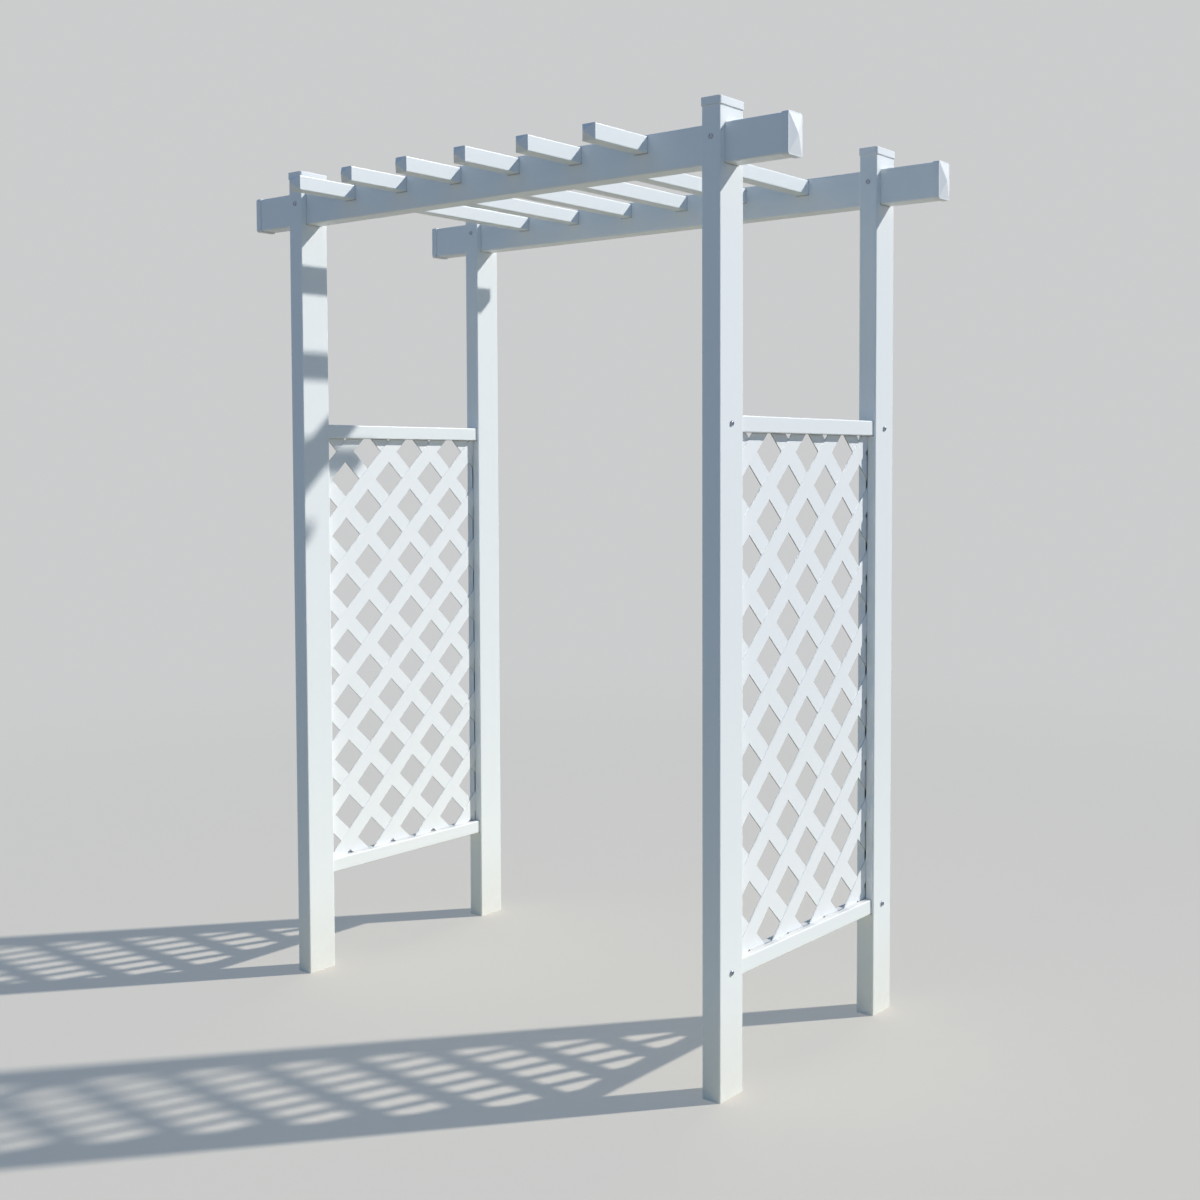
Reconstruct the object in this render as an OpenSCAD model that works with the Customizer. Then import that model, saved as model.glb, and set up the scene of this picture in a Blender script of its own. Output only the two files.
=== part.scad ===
// Garden arbor in white vinyl, put together from hollow extruded tubes.
// Two beams run through routed holes in four posts, and the purlins run through
// routed holes in both beams. A lattice sheet closes each side, held in slots in its
// top and bottom rail and in the two posts that face each other.
// X runs across the walk-through, Y from front (-Y) to back, Z up from the feet.

/* [Overall] */
// Distance across the walk-through between post centres
post_span = 1440; // [900:10:2400]
// Distance from front to back between post centres
post_depth = 667; // [450:1:1000]
// Length of a post, from the ground to its cut top
post_h = 2240; // [2000:10:2700]

/* [Post] */
// Narrow side of a post, across the walk-through
post_w = 50.8; // [46:0.1:80]
// Broad side of a post, from front to back
post_d = 88.9; // [76:0.1:130]
// Wall of a post
post_wall = 3; // [2:0.1:4]
// Outer corner radius of the post and beam tubes
tube_corner = 4; // [2:0.5:6]

/* [Beam] */
// Thickness of a beam, from front to back
beam_t = 50.8; // [42:0.1:60]
// Height of a beam
beam_h = 88.9; // [75:0.1:140]
// Wall of a beam
beam_wall = 3; // [2:0.1:4]
// How far a beam tube runs on past a post's centre
beam_overhang = 192; // [80:1:500]
// From the top of a post down to the top of a beam
beam_drop = 52; // [30:1:150]

/* [Purlins] */
// Number of purlins
purlin_count = 6; // [2:1:8]
// From a post's centre to the centre of the nearest purlin
purlin_inset = 212.5; // [80:0.5:260]
// Width of a purlin
purlin_w = 38.1; // [30:0.1:44]
// Height of a purlin
purlin_h = 38.1; // [30:0.1:50]
// Wall of a purlin
purlin_wall = 2.2; // [1.6:0.1:3]
// How far a purlin tube runs on past a beam's centre
purlin_overhang = 204.5; // [80:0.5:500]
// From the top of a beam down to the top of a purlin
purlin_drop = 4; // [3.5:0.1:15]

/* [Side rails] */
// Width of a rail
rail_w = 38.1; // [30:0.1:39]
// Height of a rail
rail_h = 38.1; // [30:0.1:60]
// Wall of a rail
rail_wall = 2.2; // [1.6:0.1:3]
// Outer corner radius of the purlin and rail tubes
small_corner = 3; // [1.5:0.5:5]
// Height of the top of the bottom rail above the ground
panel_z = 306; // [120:1:600]
// Height of the underside of the top rail above the ground
panel_top_z = 1509; // [1000:1:1800]
// How far a rail runs on past the screw in its post
rail_past_screw = 16.5; // [8:0.5:28]

/* [Lattice] */
// Width of a slat
slat_w = 42; // [25:0.5:60]
// Clear way between two slats
slat_gap = 71.7; // [40:0.1:110]
// Thickness of one layer of slats
slat_t = 2.8; // [2:0.1:4]
// How deep the two layers are melted into each other
slat_bond = 0.6; // [0.3:0.1:1]
// How far the sheet reaches into a post
lattice_in_post = 16; // [8:1:25]
// How far the sheet reaches into a rail
lattice_in_rail = 8; // [5:1:20]
// Right sheet: from the front post back to the middle of an opening
right_opening_y = 137.5; // [0:0.5:160]
// Right sheet: from the top rail down to the middle of that opening
right_opening_z = 42; // [0:0.5:160]
// Left sheet: from the front post back to the middle of an opening
left_opening_y = 76; // [0:0.5:160]
// Left sheet: from the top rail down to the middle of that opening
left_opening_z = 116; // [0:0.5:160]

/* [Caps] */
// Wall of the caps that slip over the posts and beams
cap_wall = 2.2; // [1.5:0.1:4]
// Length of such a cap that grips the tube
cap_grip = 15.5; // [10:0.5:25]
// Thickness of such a cap over the tube end
cap_end = 2.5; // [1.5:0.1:5]
// Rise of the low point on such a cap
cap_rise = 8; // [4:0.5:20]
// Rim of the plugs that close the purlins
plug_rim = 1.5; // [1:0.1:5]
// Rise of the point on such a plug
plug_rise = 18; // [5:0.5:30]
// Length of such a plug inside the tube
plug_grip = 16; // [8:0.5:30]
// Wall of such a plug inside the tube
plug_wall = 1.8; // [1.2:0.1:3]

/* [Screws] */
// Diameter of a screw shank
screw_d = 4.2; // [3.5:0.1:5]
// Length of the point of a screw
screw_point = 4; // [2:0.5:6]
// Diameter of a screw head
screw_head_d = 12.5; // [11:0.1:14]
// Height of a screw head
screw_head_h = 4; // [3.4:0.1:5]
// Radius of the round edge of a screw head
screw_head_edge = 3.2; // [1:0.1:3.3]
// Width of an arm of the cross in a screw head
cross_w = 1.1; // [0.6:0.1:1.8]
// Length of an arm of that cross, from end to end
cross_l = 5.2; // [3:0.1:6]
// Depth of that cross
cross_deep = 1.5; // [0.5:0.1:1.9]
// How far a screw reaches past the wall that it holds
screw_bite = 10; // [7:1:16]
// From the top of a beam down to its screw
beam_screw_drop = 32; // [15:1:60]

/* [Clearances] */
// Room beside and above a tube in its routed hole
rout_gap = 0.5; // [0.2:0.1:0.9]
// Room between a tube and the edge of the hole that it lies on
rout_seat = 0.3; // [0.1:0.1:0.9]
// Room on each side of a lattice sheet in its slot
slot_gap = 0.3; // [0.1:0.1:0.9]
// Room between a cap or plug and its tube
cap_gap = 0.3; // [0.1:0.1:0.8]
// Room round a screw shank
screw_gap = 0.3; // [0.1:0.1:0.8]

/* [Hidden] */

// The object is built from signs: side is -1 on the left and 1 on the right, end is
// -1 at the front and 1 at the back
signs = [-1, 1];
function side_name(side) = side < 0 ? "left" : "right";
function end_name(end) = end < 0 ? "front" : "back";
function corner_name(side, end) = str(end_name(end), "_", side_name(side));
function at_corners(name) = [for (side = signs, end = signs) str(name, "_", corner_name(side, end))];
function at_sides(name) = [for (side = signs) str(name, "_", side_name(side))];
function at_ends(name) = [for (end = signs) str(name, "_", end_name(end))];
function numbered(name) = [for (i = [1:purlin_count]) str(name, "_", i)];

vinyl = [0.95, 0.96, 0.96];
zinc_plated_steel = [0.56, 0.57, 0.58];

beam_top = post_h - beam_drop;
beam_mid = beam_top - beam_h / 2;
beam_length = post_span + 2 * beam_overhang;
beam_screw_z = beam_top - beam_screw_drop;
beam_screw_l = (post_d - beam_t) / 2 + beam_wall + screw_bite;
purlin_mid = beam_top - purlin_drop - purlin_h / 2;
purlin_length = post_depth + 2 * purlin_overhang;
purlin_pitch = (post_span - 2 * purlin_inset) / (purlin_count - 1);
clear_depth = post_depth - post_d;
clear_height = panel_top_z - panel_z;
bottom_rail_mid = panel_z - rail_h / 2;
top_rail_mid = panel_top_z + rail_h / 2;
rail_length = post_depth + 2 * rail_past_screw;
rail_screw_l = (post_w - rail_w) / 2 + rail_wall + screw_bite;
sheet_w = clear_depth + 2 * lattice_in_post;
sheet_h = clear_height + 2 * lattice_in_rail;
sheet_t = 2 * slat_t - slat_bond;
slat_pitch = slat_w + slat_gap;
slot_w = sheet_t + 2 * slot_gap;
// A cut runs this far past the wall that it opens
past = 1;
// A slat is kept where it lies on a crossing slat by at least this much
held = 2;
// Smallest inner corner radius of a tube or plug
inner_corner = 0.5;
$fn = 48;

function purlin_x(i) = (i - (purlin_count + 1) / 2) * purlin_pitch;

// Rectangle with round corners, centred
module round_rect(w, h, r) {
    square([w - 2 * r, h], center = true);
    square([w, h - 2 * r], center = true);
    for (x = signs, y = signs)
        translate([x * (w / 2 - r), y * (h / 2 - r)]) circle(r);
}

// Cross-section of an extruded tube, whose walls follow its outer corners
module tube_section(w, h, wall, corner) {
    difference() {
        round_rect(w, h, corner);
        round_rect(w - 2 * wall, h - 2 * wall, max(corner - wall, inner_corner));
    }
}

// Cross-section of the routed hole that such a tube lies in
module routed_section(w, h, corner) {
    translate([0, (rout_gap - rout_seat) / 2])
        round_rect(w + 2 * rout_gap, h + rout_gap + rout_seat, corner + rout_gap);
}

// Cross-section drawn upright, carried along X or along Y, with its middle at the origin
module along_x(length) {
    rotate([90, 0, 90]) linear_extrude(length, center = true) children();
}

module along_y(length) {
    rotate([90, 0, 0]) linear_extrude(length, center = true) children();
}

// Hole for a screw that enters a wall along +Y
module screw_hole(wall) {
    translate([0, -past, 0]) rotate([-90, 0, 0]) cylinder(h = wall + 2 * past, d = screw_d + 2 * screw_gap);
}

// Post: the beam runs through it, its rails and sheet enter the wall that faces the
// other post of its side
module post(side, end) {
    color(vinyl) difference() {
        linear_extrude(post_h) tube_section(post_w, post_d, post_wall, tube_corner);
        translate([0, 0, beam_mid])
            along_x(post_w + 2 * past) routed_section(beam_t, beam_h, tube_corner);
        translate([0, -end * (post_d - post_wall) / 2, 0]) {
            for (z = [bottom_rail_mid, top_rail_mid])
                translate([0, 0, z])
                    along_y(post_wall + 2 * past) routed_section(rail_w, rail_h, small_corner);
            translate([-slot_w / 2, -post_wall / 2 - past, panel_z])
                cube([slot_w, post_wall + 2 * past, clear_height]);
        }
        translate([0, -post_d / 2, beam_screw_z]) screw_hole(post_wall);
        for (z = [bottom_rail_mid, top_rail_mid])
            translate([side * post_w / 2, 0, z]) rotate([0, 0, side * 90]) screw_hole(post_wall);
    }
}

// Block from z0 up to its rim at z1, whose top rises from there to a point
module pointed_block(w, h, z0, z1, rise) {
    base = [[-w, -h] / 2, [w, -h] / 2, [w, h] / 2, [-w, h] / 2];
    polyhedron(
        points = concat(
            [for (p = base) [p.x, p.y, z0]], [for (p = base) [p.x, p.y, z1]], [[0, 0, z1 + rise]]),
        faces = [
            [0, 1, 2, 3], [4, 5, 1, 0], [5, 6, 2, 1], [6, 7, 3, 2], [7, 4, 0, 3],
            [5, 4, 8], [6, 5, 8], [7, 6, 8], [4, 7, 8]]);
}

// Cap that slips over a tube of w by h, whose end lies at Z = 0
module slip_cap(w, h, wall) {
    outer = cap_gap + cap_wall;
    color(vinyl) difference() {
        intersection() {
            pointed_block(w + 2 * outer, h + 2 * outer, -cap_grip, cap_end, cap_rise);
            translate([0, 0, -cap_grip])
                linear_extrude(cap_grip + cap_end + cap_rise)
                    round_rect(w + 2 * outer, h + 2 * outer, tube_corner + outer);
        }
        translate([0, 0, -cap_grip - past])
            linear_extrude(cap_grip + past)
                round_rect(w + 2 * cap_gap, h + 2 * cap_gap, tube_corner + cap_gap);
        pointed_block(w - 2 * wall, h - 2 * wall, -past, 0, cap_rise);
    }
}

// Plug that closes a purlin flush with its walls; the tube's end lies at Z = 0
module plug() {
    grip_w = purlin_w - 2 * (purlin_wall + cap_gap);
    grip_h = purlin_h - 2 * (purlin_wall + cap_gap);
    hollow_w = grip_w - 2 * plug_wall;
    hollow_h = grip_h - 2 * plug_wall;
    color(vinyl) difference() {
        union() {
            intersection() {
                pointed_block(purlin_w, purlin_h, 0, plug_rim, plug_rise);
                linear_extrude(plug_rim + plug_rise) round_rect(purlin_w, purlin_h, small_corner);
            }
            translate([0, 0, -plug_grip])
                linear_extrude(plug_grip + plug_rim)
                    round_rect(grip_w, grip_h, max(small_corner - purlin_wall, inner_corner));
        }
        pointed_block(hollow_w, hollow_h, -plug_grip - past, 0, plug_rise * hollow_w / purlin_w);
    }
}

// Beam with the routed holes for the purlins; its screws enter its front wall
module beam() {
    color(vinyl) difference() {
        along_x(beam_length) tube_section(beam_t, beam_h, beam_wall, tube_corner);
        for (i = [1:purlin_count])
            translate([purlin_x(i), 0, purlin_mid - beam_mid])
                along_y(beam_t + 2 * past) routed_section(purlin_w, purlin_h, small_corner);
        for (side = signs)
            translate([side * post_span / 2, -beam_t / 2, beam_screw_z - beam_mid])
                screw_hole(beam_wall);
    }
}

module purlin() {
    color(vinyl) along_y(purlin_length) tube_section(purlin_w, purlin_h, purlin_wall, small_corner);
}

// Rail with the slot for its sheet, in its top wall (up is 1) or in its underside (-1)
module rail(side, up) {
    color(vinyl) difference() {
        along_y(rail_length) tube_section(rail_w, rail_h, rail_wall, small_corner);
        translate([0, 0, up * (rail_h - rail_wall) / 2])
            cube([slot_w, sheet_w + 2 * slot_gap, rail_wall + 2 * past], center = true);
        for (end = signs)
            translate([side * rail_w / 2, end * post_depth / 2, 0])
                rotate([0, 0, side * 90]) screw_hole(rail_wall);
    }
}

// Where a point lies across and along the slats of a layer that leans by angle
function across(p, angle) = p.x * cos(angle) + p.y * sin(angle);
function along(p, angle) = p.y * cos(angle) - p.x * sin(angle);

// Whether a crossing slat holds what a sheet's corner leaves of a slat: reach is how far
// the corner reaches over the slat's inner edge, place is the corner's place along it
function is_held(reach, place) =
    reach + abs(place - slat_pitch * round(place / slat_pitch)) > slat_gap / 2 + held;

// Layer of slats cut to the sheet. opening is the middle of an opening, measured from
// the sheet's lower front corner. An offcut that nothing would hold is left out
module slat_layer(angle, opening) {
    high = [sheet_w, angle > 0 ? sheet_h : 0] - opening;
    low = [0, angle > 0 ? 0 : sheet_h] - opening;
    reach = sheet_w + sheet_h;
    first = floor(across(low, angle) / slat_pitch);
    last = ceil(across(high, angle) / slat_pitch);
    intersection() {
        square([sheet_w, sheet_h]);
        translate(opening) rotate(angle)
            for (k = [first:last]) {
                edge = k * slat_pitch + slat_gap / 2;
                if (is_held(across(high, angle) - edge, along(high, angle))
                    && is_held(edge + slat_w - across(low, angle), along(low, angle)))
                    translate([edge, -reach]) square([slat_w, 2 * reach]);
            }
    }
}

// Lattice sheet: two layers of slats, melted together where they cross
module lattice(opening_y, opening_z) {
    opening = [lattice_in_post + opening_y, sheet_h - lattice_in_rail - opening_z];
    color(vinyl) translate([-sheet_t / 2, -sheet_w / 2, panel_z - lattice_in_rail])
        rotate([90, 0, 90]) {
            linear_extrude(slat_t) slat_layer(45, opening);
            translate([0, 0, slat_t - slat_bond]) linear_extrude(slat_t) slat_layer(-45, opening);
        }
}

// Screw with a round-edged head and a cross in it; it enters along +Y from Y = 0
module screw(length) {
    head_r = screw_head_d / 2;
    color(zinc_plated_steel) rotate([-90, 0, 0]) difference() {
        union() {
            rotate_extrude() {
                translate([0, -screw_head_h]) square([head_r - screw_head_edge, screw_head_h]);
                translate([0, screw_head_edge - screw_head_h])
                    square([head_r, screw_head_h - screw_head_edge]);
                translate([head_r - screw_head_edge, screw_head_edge - screw_head_h])
                    intersection() {
                        circle(screw_head_edge);
                        translate([0, -screw_head_edge]) square(screw_head_edge);
                    }
            }
            cylinder(h = length - screw_point, d = screw_d);
            translate([0, 0, length - screw_point]) cylinder(h = screw_point, d1 = screw_d, d2 = 0);
        }
        for (a = [0, 90])
            rotate(a) translate([-cross_w / 2, -cross_l / 2, -screw_head_h - past])
                cube([cross_w, cross_l, cross_deep + past]);
    }
}

module at_post(side, end) {
    translate([side * post_span / 2, end * post_depth / 2, 0]) children();
}

module beam_cap(side, end) {
    translate([side * beam_length / 2, end * post_depth / 2, beam_mid])
        rotate([0, side * 90, 0]) slip_cap(beam_h, beam_t, beam_wall);
}

module purlin_at(i) {
    translate([purlin_x(i), 0, purlin_mid]) purlin();
}

module purlin_plug(i, end) {
    translate([purlin_x(i), end * purlin_length / 2, purlin_mid])
        rotate([-end * 90, 0, 0]) plug();
}

module rail_at(side, z, up) {
    translate([side * post_span / 2, 0, z]) rail(side, up);
}

module lattice_at(side) {
    translate([side * post_span / 2, 0, 0])
        if (side < 0)
            lattice(left_opening_y, left_opening_z);
        else
            lattice(right_opening_y, right_opening_z);
}

module beam_screws() {
    for (side = signs, end = signs)
        at_post(side, end) translate([0, -post_d / 2, beam_screw_z]) screw(beam_screw_l);
}

module rail_screws() {
    for (side = signs, end = signs, z = [bottom_rail_mid, top_rail_mid])
        at_post(side, end)
            translate([side * post_w / 2, 0, z]) rotate([0, 0, side * 90]) screw(rail_screw_l);
}

for (side = signs, end = signs) {
    corner = corner_name(side, end);
    at_post(side, end) post(side, end);
    at_post(side, end) translate([0, 0, post_h]) slip_cap(post_w, post_d, post_wall);
    beam_cap(side, end);
}
for (end = signs)
    translate([0, end * post_depth / 2, beam_mid]) beam();
for (i = [1:purlin_count]) {
    purlin_at(i);
    purlin_plug(i, -1);
    purlin_plug(i, 1);
}
for (side = signs) {
    name = side_name(side);
    rail_at(side, top_rail_mid, -1);
    rail_at(side, bottom_rail_mid, 1);
    lattice_at(side);
}
beam_screws();
rail_screws();
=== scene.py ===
from math import cos, radians, sin

import bmesh
import bpy
import numpy as np
from mathutils import Matrix, Vector


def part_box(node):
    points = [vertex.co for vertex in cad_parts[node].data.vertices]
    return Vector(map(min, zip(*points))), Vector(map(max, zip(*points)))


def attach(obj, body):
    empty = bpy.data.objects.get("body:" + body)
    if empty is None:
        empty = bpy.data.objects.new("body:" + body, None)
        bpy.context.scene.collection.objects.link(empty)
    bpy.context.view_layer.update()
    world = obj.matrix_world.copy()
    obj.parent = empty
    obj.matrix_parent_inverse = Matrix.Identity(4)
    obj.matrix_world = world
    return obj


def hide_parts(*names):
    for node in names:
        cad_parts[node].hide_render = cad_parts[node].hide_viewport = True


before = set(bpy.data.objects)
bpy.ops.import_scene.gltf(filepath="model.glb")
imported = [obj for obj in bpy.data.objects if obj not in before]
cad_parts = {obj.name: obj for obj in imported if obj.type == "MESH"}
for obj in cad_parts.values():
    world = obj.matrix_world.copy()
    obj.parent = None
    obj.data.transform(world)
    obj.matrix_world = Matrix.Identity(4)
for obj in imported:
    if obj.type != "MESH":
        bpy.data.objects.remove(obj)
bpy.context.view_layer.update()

# The posts are hollow white PVC tubes, cut square at the foot, with their broad sides
# towards the walk-through. The die leaves faint lines along a tube, dust settles in
# the seams where other pieces enter it, a thin line of painted shade darkens each
# seam's gap, most just under the entering piece, and rain splashes soil on its foot.

VINYL = (0.895, 0.922, 0.924, 1)
VINYL_SHADE = (0.862, 0.892, 0.897, 1)
VINYL_IOR = 1.53
SOIL = (0.62, 0.57, 0.48, 1)
# The colour of the seam line: painted shade in the gap, with some dirt.
SEAM_SHADE_AND_DIRT = (0.30, 0.285, 0.26, 1)
DUST = (0.68, 0.645, 0.60, 1)
DUST_ROUGHNESS = 0.5
DUST_FROM, DUST_TO = 0.5, 0.9
DUST_FILM = 0.006
SEAM = 0.0016
SPLASH_HEIGHT = 0.30
SPLASH_UNEVEN = 0.2

# The scale of a pattern is how many of its features fit in a metre. Along the tube,
# where the die draws it out, it is multiplied by DRAWN_OUT. Depths are in metres.
CLOUD_SCALE = 3.2
GRAIN_SCALE = 38.0
STREAK_SCALE = 70.0
LINE_SCALE = 420.0
WAVE_SCALE = 9.0
DRAWN_OUT = 0.015
LINE_DEPTH = 0.0001
WAVE_DEPTH = 0.0015


class Wire:
    """An output of a shader node. Arithmetic on it adds Math nodes."""

    def __init__(self, finish, socket):
        self.finish = finish
        self.socket = socket

    def math(self, operation, *values):
        """The result of a Math node on these values."""
        return self.finish.node("Math", {"operation": operation}, dict(enumerate(values)))

    def __add__(self, other):
        return self.math("ADD", self, other)

    def __sub__(self, other):
        return self.math("SUBTRACT", self, other)

    def __rsub__(self, other):
        return self.math("SUBTRACT", other, self)

    def __mul__(self, other):
        return self.math("MULTIPLY", self, other)

    __radd__ = __add__
    __rmul__ = __mul__

    def fade(self, start, end):
        """1 up to start and 0 from end on, smooth between."""
        limits = {"Value": self, "From Min": start, "From Max": end, "To Min": 1.0, "To Max": 0.0}
        return self.finish.node("MapRange", {"interpolation_type": "SMOOTHSTEP"}, limits)


class Finish:
    """The nodes of a material or world."""

    def __init__(self, owner):
        owner.use_nodes = True
        self.owner = owner
        self.tree = owner.node_tree
        self.tree.nodes.clear()

    def node(self, kind, settings=None, inputs=None, output=0):
        """Adds a node of this type with its settings, and then the values or wires of its
        sockets, and gives the wire of one output."""
        made = self.tree.nodes.new("ShaderNode" + kind)
        for key, value in (settings or {}).items():
            setattr(made, key, value)
        for key, value in (inputs or {}).items():
            socket = self.socket(made.inputs, key)
            if isinstance(value, Wire):
                self.tree.links.new(value.socket, socket)
            else:
                socket.default_value = value
        return Wire(self, self.socket(made.outputs, output)) if made.outputs else None

    def socket(self, sockets, key):
        """The socket with this identifier or name, or else at this place in the row."""
        named = [s for s in sockets if key in (s.identifier, s.name)]
        return named[0] if named else sockets[key]

    def vector(self, operation, *values, output=0):
        """The result of a Vector Math node on these values."""
        return self.node("VectorMath", {"operation": operation}, dict(enumerate(values)), output)

    def part(self, vector, axis):
        """The X, Y or Z of a vector."""
        return self.node("SeparateXYZ", {}, {"Vector": vector}, axis)

    def blend(self, factor, low, high):
        """The colour low where factor is 0, and high where it is 1."""
        colours = {"Factor_Float": factor, "A_Color": low, "B_Color": high}
        return self.node("Mix", {"data_type": "RGBA"}, colours, "Result_Color")

    def noise(self, place, scale, detail=2.0, roughness=0.5):
        """Cloudy noise about one half."""
        values = {"Vector": place, "Scale": scale, "Detail": detail, "Roughness": roughness}
        return self.node("TexNoise", {}, values)

    def bump(self, height, depth, strength, below=None):
        """Normals of a relief of that depth, laid over the relief below."""
        values = {"Height": height, "Distance": depth, "Strength": strength}
        return self.node("Bump", {}, values | ({"Normal": below} if below else {}))

    def surface(self, sockets):
        """Ends the material in a Principled shader with these sockets."""
        shader = self.node("BsdfPrincipled", {}, sockets)
        self.node("OutputMaterial", {}, {"Surface": shader})
        return self.owner


def distance_to_box(finish, place, box):
    """How far a place lies from a box: the length of what its distance from the box's
    middle exceeds the box's half size by, taken along each axis and never below zero."""
    low, high = box
    away = finish.vector("ABSOLUTE", finish.vector("SUBTRACT", place, (low + high) / 2))
    outside = finish.vector("SUBTRACT", away, (high - low) / 2)
    return finish.vector("LENGTH", finish.vector("MAXIMUM", outside, (0, 0, 0)), output="Value")


def seam_shade_and_dirt(finish, base, place, boxes, grain):
    """The base colour with a thin dark line against each box, painted shade of the seam's
    gap mixed with dirt, and a film of dust there, both strong along the box's underside,
    where the shade falls and rain leaves dust, and faint round the rest of it."""
    height = finish.part(place, "Z")
    for box in boxes:
        distance = distance_to_box(finish, place, box)
        under = (height - box[0].z).fade(0.0, DUST_FILM)
        film = distance.fade(0.0, DUST_FILM) * grain * (under * 0.5 + 0.1)
        # Painted shade with some dirt: a thin dark line in the seam's gap, strongest just under
        # the box.
        line = distance.fade(0.4 * SEAM, SEAM) * (under * 0.7 + 0.06)
        base = finish.blend(line, finish.blend(film, base, SOIL), SEAM_SHADE_AND_DIRT)
    return base


def settled_dust(finish, base, grain):
    """The base colour with dust on faces that look up, and how thick the dust lies. It
    grows as the upward part of the normal goes from DUST_FROM to DUST_TO."""
    upward = finish.part(finish.node("NewGeometry", output="Normal"), "Z")
    thickness = (1 - upward.fade(DUST_FROM, DUST_TO)) * (grain * 0.5 + 0.4)
    return finish.blend(thickness, base, DUST), thickness


def tube_vinyl(name, lengthwise, boxes, splash_height=0.0):
    """Extruded PVC: cloudy in broad patches, with die lines along lengthwise, painted
    shade and dirt in the seams against the boxes, given for positive X and Y, soil up to
    splash_height, and dull dust on faces that look up."""
    finish = Finish(bpy.data.materials.new(name))
    place = finish.node("TexCoord", output="Object")
    across = Vector((1, 1, 1)) - (1 - DRAWN_OUT) * Vector(lengthwise)
    drawn = finish.vector("MULTIPLY", place, across)
    clouds = finish.noise(place, CLOUD_SCALE, detail=4.0)
    streaks = finish.noise(drawn, STREAK_SCALE)
    grain = finish.noise(place, GRAIN_SCALE, detail=6.0, roughness=0.7)
    base = finish.blend(clouds * 0.6 + streaks * 0.4, VINYL, VINYL_SHADE)
    if splash_height:
        height = finish.part(place, "Z") + (grain - 0.5) * SPLASH_UNEVEN
        base = finish.blend(height.fade(0.0, splash_height) * grain * 0.5, base, SOIL)
    base, dust = settled_dust(finish, base, grain)
    base = seam_shade_and_dirt(finish, base, finish.vector("ABSOLUTE", place), boxes, grain)
    lines = finish.bump(finish.noise(drawn, LINE_SCALE) + streaks, LINE_DEPTH, strength=0.3)
    wavy = finish.noise(drawn, WAVE_SCALE, detail=1.0)
    waves = finish.bump(wavy, WAVE_DEPTH, strength=0.25, below=lines)
    roughness = grain * 0.16 + 0.30 + dust * DUST_ROUGHNESS
    return finish.surface({
        "Base Color": base, "Roughness": roughness, "Normal": waves, "IOR": VINYL_IOR})


def folded_box(node):
    """A node's box on the positive side of X and Y. A box across the middle keeps its
    full reach there and starts from the middle."""
    low, high = (np.array(corner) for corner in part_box(node))
    far = np.maximum(np.abs(low), np.abs(high))
    near = np.where(low * high > 0, np.minimum(np.abs(low), np.abs(high)), 0.0)
    near[2], far[2] = low[2], high[2]
    return Vector(near), Vector(far)


def coat(nodes, material):
    """Puts the material on CAD nodes."""
    for node in nodes:
        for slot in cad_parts[node].material_slots:
            slot.material = material


corners = [f"{end}_{side}" for end in ("front", "back") for side in ("left", "right")]
post_box = folded_box("post_back_right")
beam_box = folded_box("beam_back")
top_rail_box = folded_box("top_rail_right")
bottom_rail_box = folded_box("bottom_rail_right")
coat([f"post_{corner}" for corner in corners], tube_vinyl(
    "post_vinyl", (0, 0, 1), [beam_box, top_rail_box, bottom_rail_box], SPLASH_HEIGHT))

# The side rails are square tubes of the same vinyl. Their ends go through routed
# pockets into the posts, and a slot in each holds the edge of the lattice sheet.

lattice_box = folded_box("lattice_right")
rails = [f"{level}_rail_{side}" for level in ("top", "bottom") for side in ("left", "right")]
coat(rails, tube_vinyl("rail_vinyl", (0, 1, 0), [post_box, lattice_box]))

# A lattice sheet is two layers of flat PVC slats at 45 degrees, melted together where
# they cross. The slats that rise towards the back lie on the +X side of both sheets.
# They are whiter than the others, and the cut edges that face down carry a yellow-grey
# painted shade, as if lit only from the floor below.

SLAT = (0.905, 0.922, 0.930, 1)
SLAT_BELOW = (0.845, 0.868, 0.880, 1)
# Painted shade on the cut edges that face down.
SLAT_EDGE_SHADE = (0.80, 0.765, 0.68, 1)
SLAT_STREAK_SCALE = 160.0
SLAT_CLOUD_SCALE = 14.0
SLAT_GRAIN_SCALE = 90.0
SLAT_DRAWN_OUT = 0.03
DIMPLE_DEPTH = 0.0008
EDGE_LEAN = 2.0
EDGE_FROM, EDGE_TO = 0.2, 0.8
EDGE_SHADE_FROM, EDGE_SHADE_TO = -0.4, 0.0


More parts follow.
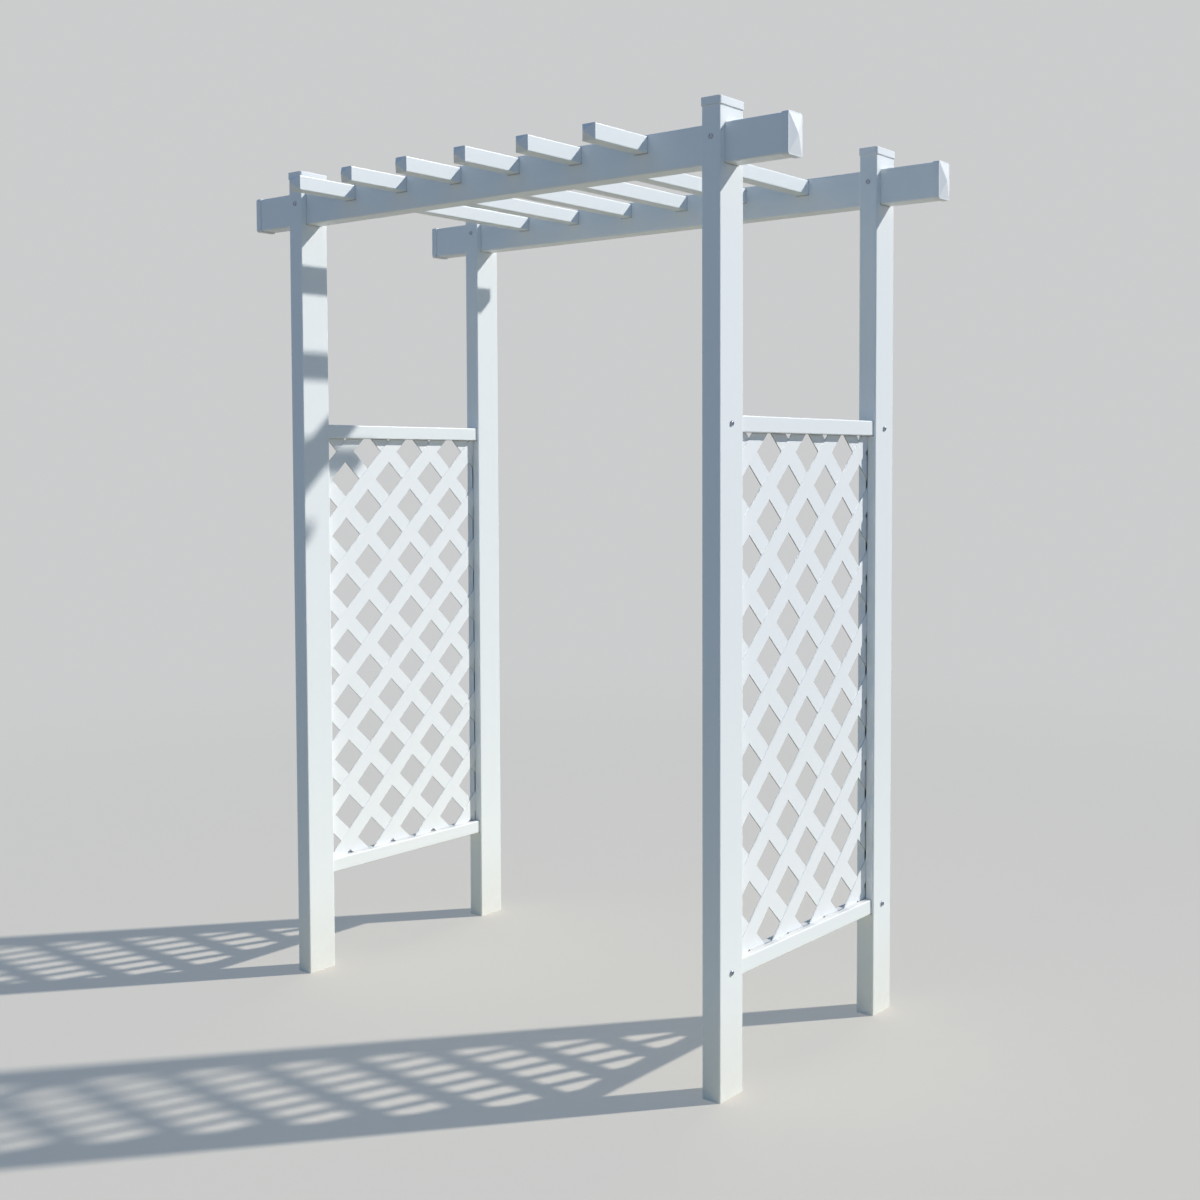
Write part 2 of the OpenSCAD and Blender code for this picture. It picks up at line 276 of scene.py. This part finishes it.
def slat_vinyl(name, middle):
    """Two layers of slats on either side of X = middle, each with die lines along it.
    The places along and across a slat are (Y + Z) / 2 and (Y - Z) / 2, and the lines are
    noise that is stretched along the slat. The edges' normals lean outwards by EDGE_LEAN
    times their length, as on a well rounded edge, and edges that face down are painted a
    yellow-grey, as painted shade."""
    finish = Finish(bpy.data.materials.new(name))
    place = finish.node("TexCoord", output="Object")
    x, y, z = (finish.part(place, axis) for axis in "XYZ")
    rising = (y + z) * 0.5
    falling = (y - z) * 0.5
    upper = x.math("GREATER_THAN", x, middle)
    along = upper * rising + (1 - upper) * falling
    across = upper * falling + (1 - upper) * rising
    drawn = finish.node("CombineXYZ", {}, {"X": across, "Y": along * SLAT_DRAWN_OUT, "Z": x})
    streaks = finish.noise(drawn, SLAT_STREAK_SCALE)
    clouds = finish.noise(place, SLAT_CLOUD_SCALE, detail=5.0, roughness=0.6)
    grain = finish.noise(place, SLAT_GRAIN_SCALE, detail=4.0, roughness=0.7)
    base = finish.blend(upper * 0.8 + clouds * 0.2, SLAT_BELOW, SLAT)
    base = finish.blend(clouds * streaks * 0.5, base, VINYL_SHADE)
    normal = finish.node("NewGeometry", output="Normal")
    outward, upward = (finish.part(normal, axis) for axis in "XZ")
    edge = outward.math("ABSOLUTE", outward).fade(EDGE_FROM, EDGE_TO)
    # Painted shade: cut edges that face down are painted yellow-grey.
    base = finish.blend(edge * upward.fade(EDGE_SHADE_FROM, EDGE_SHADE_TO) * 0.8, base, SLAT_EDGE_SHADE)
    lean = edge * (upper * (2 * EDGE_LEAN) - EDGE_LEAN)
    leaning = finish.node("CombineXYZ", {}, {"X": lean})
    rounded = finish.vector("NORMALIZE", finish.vector("ADD", normal, leaning))
    folded = finish.vector("ABSOLUTE", place)
    # Painted shade and dirt in the seams against the posts and rails.
    base = seam_shade_and_dirt(finish, base, folded, [post_box, top_rail_box, bottom_rail_box], grain)
    lines = finish.bump(streaks, LINE_DEPTH, strength=0.4, below=rounded)
    dimples = finish.bump(clouds, DIMPLE_DEPTH, strength=0.25, below=lines)
    finish.owner.cycles.use_bump_map_correction = False
    return finish.surface({
        "Base Color": base, "Roughness": grain * 0.2 + 0.34, "Normal": dimples, "IOR": VINYL_IOR})


for side in ("left", "right"):
    low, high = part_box(f"lattice_{side}")
    coat([f"lattice_{side}"], slat_vinyl(f"lattice_vinyl_{side}", (low.x + high.x) / 2))

# The two beams are the posts' tube on edge. They go right through the posts, and six
# smaller square tubes, the purlins, go right through both of them, one every 8 inches.

PURLINS = (1, 2, 3, 4, 5, 6)
RIGHT_PURLINS = (4, 5, 6)

purlin_boxes = [folded_box(f"purlin_{i}") for i in RIGHT_PURLINS]
coat(["beam_front", "beam_back"], tube_vinyl(
    "beam_vinyl", (1, 0, 0), [post_box, *purlin_boxes]))
coat([f"purlin_{i}" for i in PURLINS], tube_vinyl("purlin_vinyl", (0, 1, 0), [beam_box]))

# The ends of posts and beams are closed by moulded caps that slip over the tube. A cap
# has a flat border and inside it a low four-sided point with sharp hips, and the
# moulding leaves it smoother and whiter than the tube.

CAP_GRIP = 0.0155
CAP_END = 0.0025
CAP_WALL = 0.0022
CAP_RIM = 0.001
CAP_BORDER = 0.002
CAP_CORNER = 0.007
CAP_BORE_CORNER = 0.0043
LIP = 0.0005
ARC_STEPS = 12
MERGE_DISTANCE = 1e-7
CREASE = radians(9)
CAP_VINYL = (0.880, 0.898, 0.905, 1)
CAP_SHADE = (0.850, 0.872, 0.884, 1)
MOULD_CLOUD_SCALE = 24.0
MOULD_GRAIN_SCALE = 300.0
MOULD_GRAIN_DEPTH = 0.00008


def moulded_vinyl(name):
    """Moulded PVC: even, with a soft grain, and dull dust on faces that look up."""
    finish = Finish(bpy.data.materials.new(name))
    place = finish.node("TexCoord", output="Object")
    clouds = finish.noise(place, MOULD_CLOUD_SCALE, detail=3.0)
    grain = finish.noise(place, MOULD_GRAIN_SCALE, detail=4.0, roughness=0.6)
    base, dust = settled_dust(finish, finish.blend(clouds, CAP_VINYL, CAP_SHADE), grain)
    roughness = clouds * 0.12 + 0.36 + dust * DUST_ROUGHNESS
    relief = finish.bump(grain, MOULD_GRAIN_DEPTH, strength=0.3)
    return finish.surface({
        "Base Color": base, "Roughness": roughness, "Normal": relief, "IOR": VINYL_IOR})


def rounded_rings(half_u, half_v, radius, height):
    """One ring of points for each entry of the arrays: a rectangle with round corners,
    or sharp ones where radius is 0, at that height. A point is its corner's centre, half
    a side less the radius from the middle, plus the radius in the point's own direction,
    which turns a full round."""
    quarter = np.linspace(0.0, np.pi / 2, ARC_STEPS + 1)
    turn = np.concatenate([quarter + np.pi / 2 * k for k in range(4)])
    side_u = np.repeat([1, -1, -1, 1], ARC_STEPS + 1)
    side_v = np.repeat([1, 1, -1, -1], ARC_STEPS + 1)
    u = side_u * (half_u - radius)[:, None] + radius[:, None] * np.cos(turn)
    v = side_v * (half_v - radius)[:, None] + radius[:, None] * np.sin(turn)
    return np.stack([u, v, np.broadcast_to(height[:, None], u.shape)], axis=-1)


def round_edge(radius, start, end):
    """Insets and heights of an arc that turns from start to end, in degrees, where 0
    points outwards and 90 up: inset is radius less its cosine part, height its sine."""
    turn = np.radians(np.linspace(start, end, ARC_STEPS + 1))
    return radius * (1 - np.cos(turn)), radius * np.sin(turn)


def ring_mesh(name, rings):
    """A closed mesh of rings joined by quads, whose first and last rings are points. The
    points of a sharp corner are merged, and so are those of these two rings."""
    rows, columns = rings.shape[:2]
    at = np.arange(rows * columns).reshape(rows, columns)
    turned = np.roll(at, -1, axis=1)
    quads = np.stack([at[:-1], turned[:-1], turned[1:], at[1:]], axis=-1).reshape(-1, 4)
    mesh = bpy.data.meshes.new(name)
    mesh.from_pydata(rings.reshape(-1, 3).tolist(), [], quads.tolist())
    merged = bmesh.new()
    merged.from_mesh(mesh)
    bmesh.ops.remove_doubles(merged, verts=merged.verts, dist=MERGE_DISTANCE)
    merged.to_mesh(mesh)
    merged.free()
    mesh.shade_smooth()
    mesh.set_sharp_from_angle(angle=CREASE)
    return mesh


def end_piece(node, outward, upward, profile, material):
    """A piece in a node's place: the profile's rings, whose height runs along outward
    and whose second side lies along upward, moved into the node's box."""
    outward, upward = Vector(outward), Vector(upward)
    sideways = upward.cross(outward)
    low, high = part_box(node)
    size = high - low
    length = abs(size.dot(outward))
    half_u = abs(size.dot(sideways)) / 2
    half_v = abs(size.dot(upward)) / 2
    base = (low + high) / 2 - outward * length / 2
    mesh = ring_mesh(node + "_skin", rounded_rings(*profile(half_u, half_v, length)))
    axes = Matrix((sideways, upward, outward)).transposed()
    mesh.transform(Matrix.Translation(base) @ axes.to_4x4())
    mesh.materials.append(material)
    piece = bpy.data.objects.new(node + "_skin", mesh)
    bpy.context.collection.objects.link(piece)
    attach(piece, "root")
    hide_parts(node)


def slip_cap(half_u, half_v, length):
    """Rings of a cap from the middle of its underside, down its inside, round its lip,
    up its outside, over its rim, across the flat border and up the slopes to the point."""
    lip_inset, lip_height = round_edge(LIP, -90, 0)
    rim_inset, rim_height = round_edge(CAP_RIM, 0, 90)
    border = CAP_RIM + CAP_BORDER
    top = CAP_GRIP + CAP_END
    inset = np.concatenate([[CAP_WALL, CAP_WALL], lip_inset, rim_inset, [border]])
    height = np.concatenate([
        [CAP_GRIP, CAP_GRIP, 0], LIP + lip_height, top - CAP_RIM + rim_height, [top, length]])
    radius = np.concatenate([
        [0, CAP_BORE_CORNER, CAP_BORE_CORNER], CAP_CORNER - lip_inset, CAP_CORNER - rim_inset,
        [0, 0]])
    half_us = np.concatenate([[0], half_u - inset, [0]])
    half_vs = np.concatenate([[0], half_v - inset, [0]])
    return half_us, half_vs, radius, height


cap_vinyl = moulded_vinyl("cap_vinyl")
for corner in corners:
    outward = (1, 0, 0) if "right" in corner else (-1, 0, 0)
    end_piece(f"post_cap_{corner}", (0, 0, 1), (0, 1, 0), slip_cap, cap_vinyl)
    end_piece(f"beam_cap_{corner}", outward, (0, 0, 1), slip_cap, cap_vinyl)

# Each purlin end is closed by a moulded plug. Its grip sits inside the tube, and its
# head is flush with the tube's sides and rises to a steep four-sided point.

PLUG_GRIP = 0.016
PLUG_GRIP_INSET = 0.0025
PLUG_WALL = 0.0018
PLUG_RIM = 0.0015
PLUG_EDGE = 0.0007
PLUG_EDGE_TURN = 45
PLUG_CORNER = 0.002
PLUG_LEAST_CORNER = 0.0004
PLUG_SHOULDER = 0.03


def plug(half_u, half_v, length):
    """Rings of a plug from the middle of its hollow, down the hollow, round the end of
    its grip, out under its head, over the head's edge and up the slopes to the point.
    The corners of the slopes are sharp from PLUG_SHOULDER of the way up."""
    edge_inset, edge_rise = round_edge(PLUG_EDGE, 0, PLUG_EDGE_TURN)
    edge_height = PLUG_GRIP + PLUG_RIM - PLUG_EDGE + edge_rise
    hollow = PLUG_GRIP_INSET + PLUG_WALL
    foot = edge_height[-1]
    shoulder = foot + (length - foot) * PLUG_SHOULDER
    inset = np.concatenate([[hollow, hollow, PLUG_GRIP_INSET, PLUG_GRIP_INSET, 0], edge_inset])
    height = np.concatenate([
        [PLUG_GRIP, PLUG_GRIP, 0, 0, PLUG_GRIP, PLUG_GRIP], edge_height, [shoulder, length]])
    radius = np.concatenate([[0], np.maximum(PLUG_CORNER - inset, PLUG_LEAST_CORNER), [0, 0]])
    slope = np.array([1 - PLUG_SHOULDER, 0])
    half_us, half_vs = (
        np.concatenate([[0], half - inset, (half - inset[-1]) * slope])
        for half in (half_u, half_v))
    return half_us, half_vs, radius, height


plug_vinyl = moulded_vinyl("plug_vinyl")
for i in PURLINS:
    end_piece(f"purlin_plug_front_{i}", (0, -1, 0), (0, 0, 1), plug, plug_vinyl)
    end_piece(f"purlin_plug_back_{i}", (0, 1, 0), (0, 0, 1), plug, plug_vinyl)

# Zinc-plated steel screws with domed heads hold the beams and rails in the posts. The
# plating has gone dull and blotchy with weather, and is still bright in spots.

ZINC = (0.38, 0.44, 0.53, 1)
WEATHERED_ZINC = (0.22, 0.26, 0.33, 1)
BLOTCH_SCALE = 420.0
PIT_SCALE = 1800.0
PIT_DEPTH = 0.00003


def weathered_zinc(name):
    """Plated steel: bright and smoother where a noise is high, dull and rougher where it
    is low, with fine pits all over."""
    finish = Finish(bpy.data.materials.new(name))
    place = finish.node("TexCoord", output="Object")
    bright = finish.noise(place, BLOTCH_SCALE, detail=4.0, roughness=0.6)
    pits = finish.bump(finish.noise(place, PIT_SCALE), PIT_DEPTH, strength=0.3)
    base = finish.blend(bright, WEATHERED_ZINC, ZINC)
    return finish.surface({
        "Base Color": base, "Metallic": 1.0, "Roughness": 0.42 - bright * 0.2, "Normal": pits})


coat(["beam_screws", "rail_screws"], weathered_zinc("weathered_zinc"))

# The photograph was taken from the front right, at eye level, with a lens that looks a
# little down. Pixel values are for its frame of 1200 by 1200, from the upper left.

FRAME_SIZE = 1200
SENSOR = 36.0
FOCAL_PIXELS = 1498.7
CENTRE_X = 720.0
CENTRE_Y = 529.6
CAMERA_PLACE = (2.720, -3.031, 1.442)
YAW, PITCH = 0.6397, -0.0451

forward = Vector((-sin(YAW) * cos(PITCH), cos(YAW) * cos(PITCH), sin(PITCH)))
level = Vector((cos(YAW), sin(YAW), 0))
above = level.cross(forward)
lens = bpy.data.cameras.new("photo_camera")
lens.sensor_width = SENSOR
lens.lens = SENSOR * FOCAL_PIXELS / FRAME_SIZE
lens.shift_x = (FRAME_SIZE / 2 - CENTRE_X) / FRAME_SIZE
lens.shift_y = (CENTRE_Y - FRAME_SIZE / 2) / FRAME_SIZE
camera = bpy.data.objects.new("photo_camera", lens)
camera.matrix_world = Matrix.Translation(CAMERA_PLACE) @ (
    Matrix((level, above, -forward)).transposed().to_4x4())
bpy.context.collection.objects.link(camera)
bpy.context.scene.camera = camera
bpy.context.scene.view_settings.view_transform = "Standard"

# The arbor stands on a plain pale floor that runs on into an even backdrop. A lamp
# stands high at the back right, where the sun was. The sky's light is cool, and dims to
# a deep blue overhead. The floor throws a warmer light back up from close by.

BACKDROP = (0.60, 0.605, 0.61, 1)
FLOOR_SEEN = (0.70, 0.64, 0.55, 1)
FLOOR_REACH = 14.0
FLOOR_SIDES = 96
FLOOR_GLOW = 0.30
BLEND_FROM, BLEND_TO = 2.6, 6.5
NEAR_BOUNCE = (0.62, 0.54, 0.35, 1)
FAR_BOUNCE = (0.18, 0.18, 0.16, 1)
BOUNCE_FROM, BOUNCE_TO = 0.8, 2.8
LOW_SKY = (0.41, 0.49, 0.60, 1)
HIGH_SKY = (0.06, 0.17, 0.34, 1)
SKY_BAND = 0.5
SUN_FROM = Vector((1.0, 1.145, 1.171))
SUN_COLOUR = (1.0, 0.98, 0.94)
SUN_STRENGTH = 3.75
SUN_SOFTNESS = radians(1.5)


def seen_rays(finish):
    """1 for rays from the camera, in reflections and through glass, and 0 otherwise."""
    rays = [finish.node("LightPath", output=f"Is {kind} Ray")
            for kind in ("Camera", "Glossy", "Transmission")]
    return rays[0].math("MAXIMUM", rays[0], rays[1].math("MAXIMUM", rays[1], rays[2]))


studio = Finish(bpy.data.worlds.new("studio"))
height = studio.part(studio.node("TexCoord", output="Generated"), "Z")
sky = studio.blend(height.fade(0.0, SKY_BAND), HIGH_SKY, LOW_SKY)
light = studio.blend(seen_rays(studio), sky, BACKDROP)
studio.node("OutputWorld", {}, {"Surface": studio.node("Background", {}, {"Color": light})})
bpy.context.scene.world = studio.owner

ground = Finish(bpy.data.materials.new("floor_paint"))
seen = seen_rays(ground)
reach = ground.vector("LENGTH", ground.node("TexCoord", output="Object"), output="Value")
bounce = ground.blend(reach.fade(BOUNCE_FROM, BOUNCE_TO), FAR_BOUNCE, NEAR_BOUNCE)
paint = ground.node("BsdfDiffuse", {}, {"Color": ground.blend(seen, bounce, FLOOR_SEEN)})
glow = ground.node("Emission", {}, {"Color": BACKDROP})
share = seen * (1 - (1 - FLOOR_GLOW) * reach.fade(BLEND_FROM, BLEND_TO))
mixed = ground.node("MixShader", {}, {"Fac": share, 1: paint, 2: glow})
ground.node("OutputMaterial", {}, {"Surface": mixed})

# The floor is one face. Its corners turn evenly round the middle, FLOOR_REACH from it.
turn = np.linspace(0, 2 * np.pi, FLOOR_SIDES, endpoint=False)
rim = np.stack([FLOOR_REACH * np.cos(turn), FLOOR_REACH * np.sin(turn), 0 * turn], axis=-1)
disc = bpy.data.meshes.new("floor")
disc.from_pydata(rim.tolist(), [], [list(range(FLOOR_SIDES))])
disc.materials.append(ground.owner)
floor = bpy.data.objects.new("floor", disc)
bpy.context.collection.objects.link(floor)

lamp = bpy.data.lights.new("key_lamp", "SUN")
lamp.energy = SUN_STRENGTH
lamp.angle = SUN_SOFTNESS
lamp.color = SUN_COLOUR
key = bpy.data.objects.new("key_lamp", lamp)
key.rotation_mode = "QUATERNION"
key.rotation_quaternion = SUN_FROM.to_track_quat("Z", "Y")
bpy.context.collection.objects.link(key)

bpy.context.view_layer.update()
